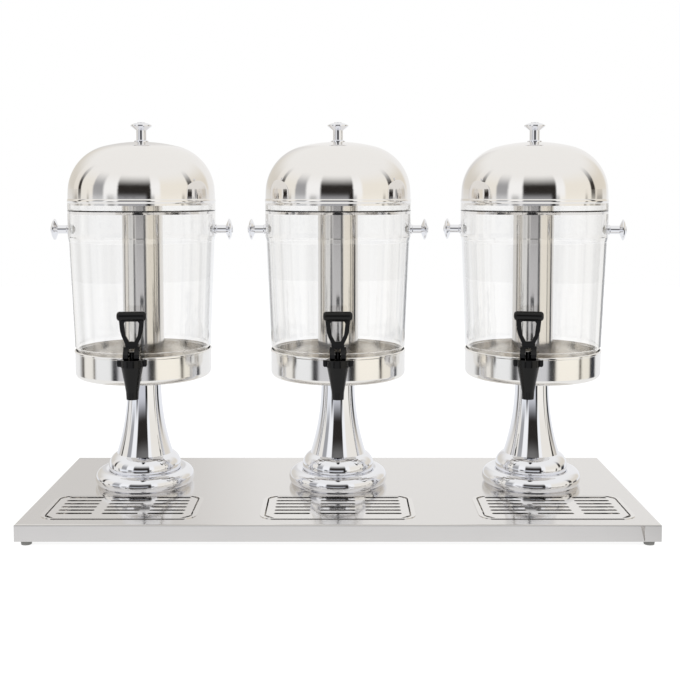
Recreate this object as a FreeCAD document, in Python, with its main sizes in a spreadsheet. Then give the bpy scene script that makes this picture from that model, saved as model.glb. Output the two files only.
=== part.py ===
import FreeCAD, Part
import math
import os
import re
import Sketcher
from FreeCAD import Vector

# A stand with three juice dispensers side by side on one stainless tray.
# Each dispenser is a clear container in a steel pan on a turned pedestal, with a domed lid,
# an ice tube, a push-lever tap at the front and a drip pan with a grille under the tap.
#
# The tray is centred on the origin, its feet stand on Z = 0 and its front faces -Y.
# A dispenser is drawn once, about its own upright axis with Z = 0 on the tray's top face,
# as the middle one. The left and right ones are links to it with their own placement.

# Driving dimensions, in millimetres and degrees.
SIZES = {
    # Stand
    "unit_pitch": 297,
    "unit_setback": 214,
    "left_turn": 3.5,
    "right_turn": -12.5,
    # Base tray
    "tray_length": 870,
    "tray_depth": 360,
    "tray_skirt": 23.3,
    "tray_gauge": 1,
    "tray_fold": 2,
    "tray_hem": 24,
    "lap_inset": 22.5,
    "lap_head": 6,
    "lap_foot": 0.8,
    "lap_margin": 2,
    # Feet
    "foot_height": 6.7,
    "foot_head_radius": 8,
    "foot_sole_radius": 7,
    "foot_side_inset": 13.5,
    "foot_front_inset": 12,
    "foot_stud_radius": 2.5,
    "foot_barb_radius": 3.4,
    "foot_barb_height": 2.5,
    # Tie bolts
    "bolt_radius": 4,
    "bolt_clearance": 0.25,
    "bolt_flats": 13,
    "bolt_head_height": 5.3,
    "bolt_end": 2,
    "tie_washer_radius": 9,
    "tie_washer_gauge": 1.6,
    "tie_nut_height": 6.5,
    # Drip pan
    "drip_pitch": 302.5,
    "drip_setback": 79.5,
    "drip_opening_length": 203,
    "drip_opening_width": 104.2,
    "drip_corner": 14,
    "drip_gauge": 0.8,
    "drip_depth": 16,
    "drip_flange": 5.4,
    "drip_flange_side": 2.2,
    "drip_flange_corner": 20,
    "drip_clearance": 0.6,
    # Drip grille
    "grille_clearance": 0.7,
    "grille_end_clearance": 2.2,
    "grille_gauge": 1,
    "grille_stand": 0.6,
    "grille_chamfer": 12.5,
    "grille_leg_length": 160,
    "slot_length": 50.5,
    "slot_width": 6.2,
    "slot_columns": 3,
    "slot_rows": 6,
    "slot_column_pitch": 63.5,
    "slot_row_pitch": 15.1,
    "slot_first_setback": 48.5,
    # Pedestal
    "pedestal_height": 166,
    "pedestal_wall": 1.5,
    "foot_ring_radius": 61.4,
    "foot_bead_radius": 13.4,
    "foot_bead_seat_angle": 48.3,
    "foot_bead_end_angle": 126.2,
    "foot_lip_radius": 66.5,
    "foot_lip_height": 1.6,
    "groove_radius": 52.8,
    "groove_height": 20,
    "groove_wrap_angle": 10,
    "shoulder_radius": 21.07,
    "shoulder_start_angle": 22.3,
    "shoulder_end_angle": 65.6,
    "column_radius": 25.3,
    "column_neck": 8,
    "column_flange_radius": 36,
    "column_flange_gauge": 3,
    # Base pan
    "pan_radius": 101.9,
    "pan_depth": 41.5,
    "pan_gauge": 1,
    "pan_corner": 8,
    "pan_bead": 1.1,
    "pan_bead_height": 3.8,
    "pan_notch_clearance": 0.4,
    # Container
    "container_height": 261.7,
    "container_wall": 3,
    "container_floor": 3.2,
    "container_foot_radius": 95.3,
    "container_foot_corner": 10,
    "container_foot_draft": 2.3,
    "container_foot_height": 39,
    "container_step": 4.2,
    "container_step_height": 7,
    "container_step_offset": 0.8,
    "container_draft": 6.5,
    "belt_height": 49.5,
    "belt_step": 1.9,
    "belt_step_height": 8,
    "belt_wall": 3.2,
    "recess_radius": 30,
    "recess_height": 8,
    "ledge_drop": 9,
    "ledge_height": 7,
    "ledge_width": 5,
    "ledge_slope": 5.6,
    # Ice tube
    "ice_radius": 30.5,
    "ice_wall": 1,
    "ice_height": 273.8,
    "ice_rim": 1.5,
    "ice_clearance": 0.7,
    "collar_wall": 3,
    "collar_height": 7.8,
    # Domed lid
    "lid_inset": 0.5,
    "lid_gauge": 1,
    "lid_bead_height": 6.5,
    "lid_bead_radius": 6,
    "lid_lip_clearance": 0.9,
    "lid_lip_drop": 3,
    "lid_skirt_radius": 210,
    "lid_skirt_sweep": 3.88,
    "lid_shoulder_radius": 71.5,
    "lid_shoulder_sweep": 71.9,
    "lid_seat_radius": 12,
    # Knobs
    "knob_disc_radius": 15.75,
    "knob_disc_edge": 1.5,
    "knob_face_radius": 6,
    "knob_face_rise": 3.3,
    "knob_button_rise": 1.4,
    "knob_collar_height": 1.5,
    "lid_knob_flange": 11,
    "lid_knob_shaft": 7.5,
    "lid_knob_shaft_length": 17.3,
    "lid_knob_cone": 6.3,
    "rivet_radius": 3,
    "rivet_clearance": 0.1,
    "rivet_head_radius": 5.5,
    "rivet_head_height": 2.4,
    "side_knob_flange": 7.5,
    "side_knob_shaft": 6.2,
    "side_knob_shaft_length": 16,
    "side_knob_cone": 4.2,
    "side_knob_drop": 39.9,
    "side_knob_gap": 0.1,
    "screw_radius": 2.5,
    "screw_clearance": 0.1,
    "screw_reach": 11,
    "screw_head_radius": 6,
    "screw_head_height": 3,
    "knob_washer_radius": 7,
    "knob_washer_gauge": 1.5,
    "knob_washer_gap": 0.3,
    # Tap body
    "tap_height": 19,
    "tap_pad_radius": 13.5,
    "tap_pad_stand": 1.1,
    "tap_pad_extra": 1.5,
    "shank_reach": 35.6,
    "shank_radius": 7,
    "shank_bore": 4.2,
    "shank_thread_radius": 6,
    "shank_thread_length": 20,
    "shank_flange_radius": 11,
    "shank_flange_gauge": 1.4,
    "shank_hole_clearance": 0.1,
    "shank_washer_gauge": 1.6,
    "shank_nut_flats": 20,
    "shank_nut_height": 9,
    "shank_nut_clearance": 0.05,
    "spout_drop": 31.5,
    "spout_radius": 8.4,
    "spout_waist_drop": 21,
    "spout_waist_radius": 9,
    "seat_drop": 7.4,
    "seat_outer_radius": 11.2,
    "cup_rise": 14.5,
    "cup_outer_radius": 15.3,
    "spigot_radius": 13.6,
    "spigot_height": 6,
    "chamber_radius": 11.4,
    "chamber_depth": 7.5,
    "chamber_seat_radius": 7.8,
    "outlet_radius": 5,
    # Bonnet
    "bonnet_gap": 0.2,
    "bonnet_radius": 16.4,
    "bonnet_height": 10.3,
    "bonnet_crown": 1,
    "bonnet_thread_clearance": 0.1,
    "bonnet_plate": 4,
    "guide_radius": 5.4,
    "guide_drop": 4,
    "wing_reach": 20.8,
    "wing_foot_reach": 19.5,
    "wing_foot_rise": 2.3,
    "wing_gauge": 5,
    # Stem, cup, spring and pin
    "stem_radius": 4,
    "stem_clearance": 0.08,
    "stem_head": 3.7,
    "stem_flange_radius": 7.4,
    "stem_flange_gauge": 1.8,
    "stem_spigot_radius": 2.2,
    "stem_spigot_length": 6.6,
    "stem_groove": 0.4,
    "stem_groove_pitch": 0.9,
    "seat_cup_foot_radius": 6.6,
    "seat_cup_head_radius": 7.9,
    "seat_cup_height": 10,
    "seat_cup_clearance": 0.05,
    "spring_radius": 6.6,
    "spring_wire": 0.5,
    "spring_turns": 6,
    "spring_gap": 0.05,
    "pin_radius": 1.5,
    "pin_inset": 0.1,
    "pin_clearance": 0.05,
    "lever_pin_clearance": 0.08,
    # Lever
    "lever_throw": 45,
    "stem_lift": 5,
    "lever_foot": 6.85,
    "cam_gap": 0.15,
    "lever_width": 22.8,
    "lever_heel": 7,
    "lever_back_rise": 4,
    "lever_nose_rise": 1,
    "lever_shoulder_rise": 9,
    "lever_head_rise": 11,
    "lever_neck_gauge": 8,
    "fork_width": 8.6,
    "fork_rise": 8.6,
    "loop_gauge": 6,
    "loop_neck_half": 8.9,
    "loop_neck_rise": 15,
    "loop_waist_half": 13.2,
    "loop_waist_rise": 24,
    "loop_arm_half": 16,
    "loop_arm_rise": 33,
    "loop_head_half": 17.6,
    "loop_head_rise": 50,
    "grip_rise": 53.9,
    "grip_radius": 6.6,
    "grip_length": 41.5,
    "grip_rounding": 4.5,
    "hole_foot_half": 3.6,
    "hole_foot_rise": 18.2,
    "hole_waist_half": 8.5,
    "hole_waist_rise": 27,
    "hole_head_half": 10.5,
    "hole_head_rise": 44,
    "hole_top_half": 9,
    "hole_top_rise": 46.4,
    "loop_rounding": 1.2,
}

# Places that follow from the sizes. Heights are above the tray's top face and radii are from
# the dispenser's axis, except that the tap's radii are from the tap's own upright axis.
PLACES = {
    # Stand
    "tray_top": "foot_height + tray_skirt",
    "unit_y": "unit_setback - tray_depth / 2",
    "drip_y": "drip_setback - tray_depth / 2",
    "foot_x": "tray_length / 2 - foot_side_inset",
    "foot_y": "tray_depth / 2 - foot_front_inset",
    "bolt_hole": "bolt_radius + bolt_clearance",
    "bolt_corner": "bolt_flats / sqrt(3)",
    "lap_x": "tray_length / 2 - lap_inset",
    # Pedestal
    "bead_z": "foot_bead_radius * sin(foot_bead_seat_angle)",
    "bead_inner": "foot_bead_radius - pedestal_wall",
    "shoulder_r": "groove_radius - shoulder_radius * cos(shoulder_start_angle)",
    "shoulder_z": "groove_height + shoulder_radius * sin(shoulder_start_angle)",
    "shoulder_inner": "shoulder_radius - pedestal_wall",
    "neck_z": "pedestal_height - column_flange_gauge - column_neck",
    # Base pan
    "pan_floor": "pedestal_height + pan_gauge",
    "pan_rim": "pedestal_height + pan_depth",
    # Container
    "foot_top_z": "pan_floor + container_foot_height",
    "foot_top_r": "container_foot_radius + container_foot_draft",
    "body_z": "foot_top_z + container_step_height",
    "body_r": "foot_top_r + container_step",
    "rim_z": "pan_floor + container_height",
    "belt_z": "rim_z - belt_height",
    "body_top_r": "body_r + container_draft",
    "belt_r": "body_top_r + belt_step",
    "belt_inner": "belt_r - belt_wall",
    "inside_floor": "pan_floor + container_floor",
    "ice_floor": "inside_floor + recess_height",
    "collar_inner": "ice_radius + ice_clearance",
    "collar_outer": "collar_inner + collar_wall",
    "ledge_top": "rim_z - ledge_drop",
    "knob_z": "rim_z - side_knob_drop",
    # Lid
    "lid_r": "belt_r - lid_inset",
    "lid_lip": "belt_inner - lid_lip_clearance",
    "skirt_centre_r": "lid_r - lid_skirt_radius",
    "skirt_z": "rim_z + lid_bead_height",
    "crown_start": "lid_skirt_sweep + lid_shoulder_sweep",
    "shoulder_gap": "lid_skirt_radius - lid_shoulder_radius",
    "lid_shoulder_r": "skirt_centre_r + shoulder_gap * cos(lid_skirt_sweep)",
    "lid_shoulder_z": "skirt_z + shoulder_gap * sin(lid_skirt_sweep)",
    "crown_gap": "lid_shoulder_r / cos(crown_start)",
    "crown_radius": "crown_gap + lid_shoulder_radius",
    "crown_z": "lid_shoulder_z - crown_gap * sin(crown_start)",
    "lid_seat": "crown_z + sqrt(crown_radius ^ 2 - lid_seat_radius ^ 2)",
    "lid_under": "crown_z + sqrt((crown_radius - lid_gauge) ^ 2 - lid_seat_radius ^ 2)",
    # Side knobs, along X
    "side_knob_x": "belt_r + side_knob_gap",
    "knob_washer_x": "belt_inner - knob_washer_gap",
    "screw_head_x": "knob_washer_x - knob_washer_gauge",
    # Tap, with distances towards the front from the dispenser's axis
    "shank_z": "pan_floor + tap_height",
    "pad_face": "container_foot_radius + tap_pad_stand",
    "pad_gauge": "container_wall + tap_pad_extra",
    "pad_back": "pad_face - pad_gauge",
    "shank_seat": "pad_face + shank_washer_gauge",
    "shank_face": "shank_seat + shank_flange_gauge",
    "tap_reach": "shank_face + shank_reach",
    "shank_hole": "shank_thread_radius + shank_hole_clearance",
    "nut_face": "pad_back - shank_washer_gauge",
    "nut_corner": "shank_nut_flats / sqrt(3)",
    "seat_z": "shank_z - seat_drop",
    "cup_z": "shank_z + cup_rise",
    "bonnet_z": "cup_z + bonnet_gap",
    "bonnet_top": "bonnet_z + bonnet_height",
    "plate_z": "bonnet_top - bonnet_plate",
    "stem_flange_z": "seat_z + seat_cup_height",
    "spring_foot": "stem_flange_z + stem_flange_gauge",
    "pivot_z": "bonnet_top + cam_gap + lever_foot",
    "stem_top": "pivot_z + stem_head",
    # The lever's foot is an involute, so that the stem rises evenly with the lever's angle
    "cam_rate": "stem_lift / (lever_throw * pi / 180)",
    "cam_lift": "lever_foot + stem_lift",
    "cam_end_y": "cam_lift * sin(lever_throw) + cam_rate * cos(lever_throw)",
    "cam_end_z": "cam_lift * cos(lever_throw) - cam_rate * sin(lever_throw)",
}

LEFT_TURN = 1
RIGHT_TURN = -1
FULL_TURN = 360

# Lengths and volumes that differ by less than this count as equal.
CLOSE = 0.001

doc = FreeCAD.newDocument("JuiceDispenser")


def write_sheet(name, rows):
    """Fill a spreadsheet with one aliased cell for each row."""
    sheet = doc.addObject("Spreadsheet::Sheet", name)
    for number, (alias, content) in enumerate(rows.items(), start=1):
        cell = "A%d" % number
        sheet.set(cell, str(content))
        sheet.setAlias(cell, alias)
    return sheet


def bound(formula, own_sheet=False):
    """Return a formula with each size and place written with its sheet's name."""

    def with_sheet(match):
        word = match.group(0)
        if word in SIZES:
            return "Sizes." + word
        if word in PLACES and not own_sheet:
            return "Places." + word
        return word

    return re.sub(r"[a-z][a-z_]*", with_sheet, formula)


sizes = write_sheet("Sizes", SIZES)
places = write_sheet("Places", {alias: "=" + bound(text, True) for alias, text in PLACES.items()})
doc.recompute()


def number(formula):
    """Return the present value of a formula."""
    return float(places.evalExpression(bound(formula)))


def bind(target, path, formula):
    """Tie one property of an object to the sheets."""
    target.setExpression(path, bound(formula))


def new_body(label):
    """Add an empty body with its label."""
    body = doc.addObject("PartDesign::Body", label)
    body.Label = label
    return body


def origin_plane(body, role):
    """Return one of a body's own origin planes."""
    return [item for item in body.Origin.OriginFeatures if item.Role == role][0]


def new_sketch(body, role, right="0", up="0", out="0"):
    """Add a sketch on an origin plane of the body, shifted within the plane and along its normal."""
    sketch = body.newObject("Sketcher::SketchObject", body.Label + "_sketch")
    sketch.AttachmentSupport = [(origin_plane(body, role), "")]
    sketch.MapMode = "FlatFace"
    for axis, formula in (("x", right), ("y", up), ("z", out)):
        if formula != "0":
            bind(sketch, "AttachmentOffset.Base." + axis, formula)
    return sketch


def tie(sketch, kind, first, first_point, formula):
    """Place one point of a sketch along X or Y, or set a radius."""
    if kind == "Radius":
        constraint = Sketcher.Constraint(kind, first, number(formula))
    else:
        constraint = Sketcher.Constraint(kind, -1, 1, first, first_point, number(formula))
    index = sketch.addConstraint(constraint)
    bind(sketch, "Constraints[%d]" % index, formula)


def arc_between(start, end, radius, turn):
    """Return the shorter arc from start to end that turns left or right."""
    chord = end - start
    height = math.sqrt(max(radius ** 2 - chord.Length ** 2 / 4, 0))
    normal = Vector(-chord.y, chord.x, 0).normalize()
    centre = (start + end) / 2 + normal * (height * turn)
    first, last = (start, end) if turn == LEFT_TURN else (end, start)
    middle = centre - normal * (radius * turn)
    return Part.Arc(first, middle, last)


def add_outline(sketch, *steps):
    """Add a closed outline to a sketch.

    Each step is a point (x, y), reached by a straight line, or (x, y, radius, turn), reached
    by an arc that turns left or right. The first point is reached from the last one.
    """
    points = [Vector(number(step[0]), number(step[1]), 0) for step in steps]
    count = len(steps)
    first = sketch.GeometryCount
    ends = []
    for index in range(count):
        after = (index + 1) % count
        start, end = points[index], points[after]
        step = steps[after]
        if len(step) == 2:
            sketch.addGeometry(Part.LineSegment(start, end), False)
            ends.append((1, 2))
        else:
            sketch.addGeometry(arc_between(start, end, number(step[2]), step[3]), False)
            ends.append((1, 2) if step[3] == LEFT_TURN else (2, 1))
    for index in range(count):
        after = (index + 1) % count
        here = first + index
        sketch.addConstraint(
            Sketcher.Constraint("Coincident", here, ends[index][1], first + after, ends[after][0]))
        tie(sketch, "DistanceX", here, ends[index][0], steps[index][0])
        tie(sketch, "DistanceY", here, ends[index][0], steps[index][1])
        if len(steps[after]) == 4:
            tie(sketch, "Radius", here, 0, steps[after][2])


def add_circle(sketch, x, y, radius):
    """Add a circle to a sketch."""
    centre = Vector(number(x), number(y), 0)
    index = sketch.addGeometry(Part.Circle(centre, Vector(0, 0, 1), number(radius)), False)
    tie(sketch, "DistanceX", index, 3, x)
    tie(sketch, "DistanceY", index, 3, y)
    tie(sketch, "Radius", index, 0, radius)


def add_rectangle(sketch, length, width):
    """Add a rectangle centred on the origin to a sketch."""
    right = "(%s) / 2" % length
    top = "(%s) / 2" % width
    add_outline(sketch, ("-" + right, "-" + top), (right, "-" + top), (right, top), ("-" + right, top))


def add_round_rectangle(sketch, length, width, corner, x="0"):
    """Add a rectangle with round corners, centred at (x, 0), to a sketch."""
    right = "%s + (%s) / 2" % (x, length)
    left = "%s - (%s) / 2" % (x, length)
    top = "(%s) / 2" % width
    inner_right = "%s - (%s)" % (right, corner)
    inner_left = "%s + (%s)" % (left, corner)
    inner_top = "%s - (%s)" % (top, corner)
    add_outline(
        sketch,
        (inner_left, "-" + top, corner, LEFT_TURN),
        (inner_right, "-" + top),
        (right, "-(%s)" % inner_top, corner, LEFT_TURN),
        (right, inner_top),
        (inner_right, top, corner, LEFT_TURN),
        (inner_left, top),
        (left, inner_top, corner, LEFT_TURN),
        (left, "-(%s)" % inner_top),
    )


def add_hexagon(sketch, corner):
    """Add a hexagon about the origin, given its corner radius, to a sketch."""
    steps = []
    for angle in range(0, FULL_TURN, FULL_TURN // 6):
        steps.append(("%s * cos(%d)" % (corner, angle), "%s * sin(%d)" % (corner, angle)))
    add_outline(sketch, *steps)


def on_circle(centre_x, centre_y, radius, angle):
    """Return the formulas of a point on a circle."""
    return "%s + (%s) * cos(%s)" % (centre_x, radius, angle), "%s + (%s) * sin(%s)" % (
        centre_y, radius, angle)


def new_feature(body, kind, sketch):
    """Add a feature made from a sketch to a body."""
    feature = body.newObject("PartDesign::" + kind, body.Label + "_" + kind.lower())
    feature.Profile = sketch
    return feature


def turned(body, sketch, axis="V_Axis", cut=False):
    """Turn a sketch about one of its axes, adding to the body or cutting it."""
    feature = new_feature(body, "Groove" if cut else "Revolution", sketch)
    feature.ReferenceAxis = (sketch, [axis])
    feature.Angle = FULL_TURN
    return feature


def padded(body, sketch, length, back=False, both=False):
    """Pad a sketch along its normal, against it, or half to each side."""
    feature = new_feature(body, "Pad", sketch)
    bind(feature, "Length", length)
    feature.Midplane = both
    feature.Reversed = back
    return feature


def pocketed(body, sketch, length, back=False, both=False):
    """Cut a sketch against its normal, along it, or half to each side."""
    feature = new_feature(body, "Pocket", sketch)
    bind(feature, "Length", length)
    feature.Midplane = both
    feature.Reversed = back
    return feature


def through(thickness):
    """Return the depth of a cut that passes right through a thickness, with as much again to spare."""
    return "2 * (%s)" % thickness


def mirrored(body, feature, role):
    """Repeat a feature on the other side of an origin plane."""
    mirror = body.newObject("PartDesign::Mirrored", body.Label + "_mirror")
    mirror.Originals = [feature]
    mirror.MirrorPlane = (origin_plane(body, role), [""])
    body.Tip = mirror


def filleted(body, feature, radius, chosen):
    """Round the edges of a feature that the chosen test picks."""
    doc.recompute()
    names = []
    for index, edge in enumerate(feature.Shape.Edges, start=1):
        if chosen(edge.BoundBox):
            names.append("Edge%d" % index)
    fillet = body.newObject("PartDesign::Fillet", body.Label + "_fillet")
    fillet.Base = (feature, names)
    bind(fillet, "Radius", radius)


def near(first, second):
    """Tell whether two lengths agree."""
    return abs(first - second) < CLOSE


def turned_body(label, *steps):
    """Return a body turned about the dispenser's axis from one outline of radii and heights."""
    body = new_body(label)
    sketch = new_sketch(body, "XZ_Plane")
    add_outline(sketch, *steps)
    turned(body, sketch)
    return body


def ring_steps(inner, outer, low, high):
    """Return the outline of a plain ring: two radii and two heights."""
    return (inner, low), (outer, low), (outer, high), (inner, high)


def compound(label, pieces):
    """Gather separate solids that form one named sub-part."""
    group = doc.addObject("Part::Compound", label)
    group.Label = label
    group.Links = pieces
    return group


def link_at(label, target, x="0", y="0", z="0", turn="0"):
    """Repeat an object at a place, turned about the upright axis."""
    link = doc.addObject("App::Link", label)
    link.Label = label
    link.LinkedObject = target
    place(link, x, y, z, turn)
    return link


def place(item, x="0", y="0", z="0", turn="0"):
    """Bind an object's placement."""
    formula = "placement(vector(%s; %s; %s); rotation(vector(0; 0; 1); %s))" % (x, y, z, turn)
    bind(item, "Placement", formula)


def make_base_tray():
    """Folded sheet with a hemmed skirt, three cut-outs, bolt holes and lapped corners."""
    body = new_body("base_tray")
    outer = new_sketch(body, "XY_Plane")
    add_rectangle(outer, "tray_length", "tray_depth")
    block = padded(body, outer, "tray_skirt", back=True)
    filleted(body, block, "tray_fold", lambda box: near(box.ZMin, 0) and near(box.ZMax, 0))

    hem = new_sketch(body, "XY_Plane", out="-tray_skirt")
    add_rectangle(hem, "tray_length - 2 * tray_hem", "tray_depth - 2 * tray_hem")
    pocketed(body, hem, "tray_skirt - tray_gauge", back=True)
    channel = new_sketch(body, "XY_Plane", out="tray_gauge - tray_skirt")
    add_rectangle(channel, "tray_length - 2 * tray_gauge", "tray_depth - 2 * tray_gauge")
    hollow = pocketed(body, channel, "tray_skirt - 2 * tray_gauge", back=True)
    ceiling = -number("tray_gauge")
    wide = number("tray_depth - 3 * tray_gauge")
    filleted(
        body, hollow, "tray_fold - tray_gauge",
        lambda box: near(box.ZMin, ceiling) and near(box.ZMax, ceiling)
        and max(box.XLength, box.YLength) > wide)

    openings = new_sketch(body, "XY_Plane")
    for side in ("-unit_pitch", "0", "unit_pitch"):
        add_circle(openings, side, "unit_y", "bolt_hole")
    pocketed(body, openings, through("tray_gauge"))
    drips = new_sketch(body, "XY_Plane", up="drip_y")
    for side in ("-drip_pitch", "0", "drip_pitch"):
        add_round_rectangle(
            drips,
            "drip_opening_length + 2 * drip_gauge + 2 * drip_clearance",
            "drip_opening_width + 2 * drip_gauge + 2 * drip_clearance",
            "drip_corner + drip_gauge + drip_clearance",
            side)
    pocketed(body, drips, through("tray_gauge"))
    studs = new_sketch(body, "XY_Plane", out="-tray_skirt")
    for x in ("-foot_x", "foot_x"):
        for y in ("-foot_y", "foot_y"):
            add_circle(studs, x, y, "foot_stud_radius")
    pocketed(body, studs, "tray_gauge", back=True)

    for front in (True, False):
        side = "" if front else "-"
        lap = new_sketch(body, "XZ_Plane", out=side + "tray_depth / 2")
        add_outline(
            lap,
            (side + "lap_x", "-lap_margin"),
            (side + "(lap_x - lap_head)", "-lap_margin"),
            (side + "(lap_x - lap_foot)", "tray_gauge - tray_skirt"),
            (side + "lap_x", "tray_gauge - tray_skirt"))
        pocketed(body, lap, through("tray_gauge"), back=not front)
    place(body, z="tray_top")
    return body


def make_tray_feet():
    """Four rubber feet, each pushed through the hem and held by its barb."""
    foot = turned_body(
        "foot",
        ("0", "-tray_skirt - foot_height"),
        ("foot_sole_radius", "-tray_skirt - foot_height"),
        ("foot_head_radius", "-tray_skirt"),
        ("foot_stud_radius", "-tray_skirt"),
        ("foot_stud_radius", "tray_gauge - tray_skirt"),
        ("foot_barb_radius", "tray_gauge - tray_skirt"),
        ("foot_stud_radius", "tray_gauge - tray_skirt + foot_barb_height"),
        ("0", "tray_gauge - tray_skirt + foot_barb_height"))
    feet = []
    for x in ("-foot_x", "foot_x"):
        for y in ("-foot_y", "foot_y"):
            feet.append(link_at("foot_place", foot, x, y))
    group = compound("tray_feet", feet)
    place(group, z="tray_top")
    return group


def make_tie_bolts():
    """Three bolts that hold pan and pedestal to the tray, each with its washer and nut."""
    nut_z = "-tray_gauge - tie_washer_gauge - tie_nut_height"
    bolt = turned_body("bolt", *ring_steps("0", "bolt_radius", nut_z + " - bolt_end", "pan_floor"))
    head = new_sketch(bolt, "XY_Plane", out="pan_floor")
    add_hexagon(head, "bolt_corner")
    padded(bolt, head, "bolt_head_height")
    washer = turned_body(
        "washer",
        *ring_steps("bolt_hole", "tie_washer_radius", "-tray_gauge - tie_washer_gauge", "-tray_gauge"))
    nut = new_body("nut")
    flats = new_sketch(nut, "XY_Plane", out=nut_z)
    add_hexagon(flats, "bolt_corner")
    add_circle(flats, "0", "0", "bolt_radius")
    padded(nut, flats, "tie_nut_height")
    pieces = []
    for side in ("-unit_pitch", "0", "unit_pitch"):
        for piece in (bolt, washer, nut):
            pieces.append(link_at(piece.Label + "_place", piece, side))
    group = compound("tie_bolts", pieces)
    place(group, y="unit_y", z="tray_top")
    return group


def make_drip_pan():
    """Pressed pan that hangs by its flange in the tray's cut-out."""
    body = new_body("middle_drip_pan")
    flange = new_sketch(body, "XY_Plane")
    add_round_rectangle(
        flange,
        "drip_opening_length + 2 * drip_gauge + 2 * drip_flange",
        "drip_opening_width + 2 * drip_gauge + 2 * drip_flange_side",
        "drip_flange_corner")
    padded(body, flange, "drip_gauge")
    bowl = new_sketch(body, "XY_Plane")
    add_round_rectangle(
        bowl,
        "drip_opening_length + 2 * drip_gauge",
        "drip_opening_width + 2 * drip_gauge",
        "drip_corner + drip_gauge")
    padded(body, bowl, "drip_depth", back=True)
    inside = new_sketch(body, "XY_Plane", out="drip_gauge")
    add_round_rectangle(inside, "drip_opening_length", "drip_opening_width", "drip_corner")
    pocketed(body, inside, "drip_depth")
    place(body, y="drip_y", z="tray_top")
    return body


def make_drip_grille():
    """Slotted plate with cut corners, standing on two folded legs in the drip pan."""
    body = new_body("middle_drip_grille")
    half_length = "(drip_opening_length / 2 - grille_end_clearance)"
    half_width = "(drip_opening_width / 2 - grille_clearance)"
    short_length = "(%s - grille_chamfer)" % half_length
    short_width = "(%s - grille_chamfer)" % half_width
    plate = new_sketch(body, "XY_Plane", out="grille_stand")
    add_outline(
        plate,
        (short_length, "-" + half_width),
        (half_length, "-" + short_width),
        (half_length, short_width),
        (short_length, half_width),
        ("-" + short_length, half_width),
        ("-" + half_length, short_width),
        ("-" + half_length, "-" + short_width),
        ("-" + short_length, "-" + half_width))
    padded(body, plate, "grille_gauge", back=True)
    legs = new_sketch(body, "XY_Plane", out="grille_stand - grille_gauge")
    for side in ("", "-"):
        edge = side + half_width
        inner = "%s(%s - grille_gauge)" % (side, half_width)
        add_outline(
            legs,
            ("-grille_leg_length / 2", edge),
            ("grille_leg_length / 2", edge),
            ("grille_leg_length / 2", inner),
            ("-grille_leg_length / 2", inner))
    padded(body, legs, "grille_stand - grille_gauge + drip_depth - drip_gauge", back=True)

    slot = new_sketch(
        body, "XY_Plane",
        right="-(slot_columns - 1) / 2 * slot_column_pitch",
        up="slot_first_setback - drip_setback",
        out="grille_stand")
    straight = "(slot_length - slot_width) / 2"
    add_outline(
        slot,
        ("-" + straight, "-slot_width / 2", "slot_width / 2", LEFT_TURN),
        (straight, "-slot_width / 2"),
        ("slot_length / 2", "0", "slot_width / 2", LEFT_TURN),
        (straight, "slot_width / 2", "slot_width / 2", LEFT_TURN),
        ("-" + straight, "slot_width / 2"),
        ("-slot_length / 2", "0", "slot_width / 2", LEFT_TURN))
    first_slot = pocketed(body, slot, through("grille_gauge"))
    slots = body.newObject("PartDesign::LinearPattern", "slots")
    slots.Originals = [first_slot]
    slots.Direction = (slot, ["H_Axis"])
    slots.Direction2 = (slot, ["V_Axis"])
    bind(slots, "Length", "(slot_columns - 1) * slot_column_pitch")
    bind(slots, "Length2", "(slot_rows - 1) * slot_row_pitch")
    bind(slots, "Occurrences", "slot_columns")
    bind(slots, "Occurrences2", "slot_rows")
    body.Tip = slots
    place(body, y="drip_y", z="tray_top")
    return body


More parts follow.
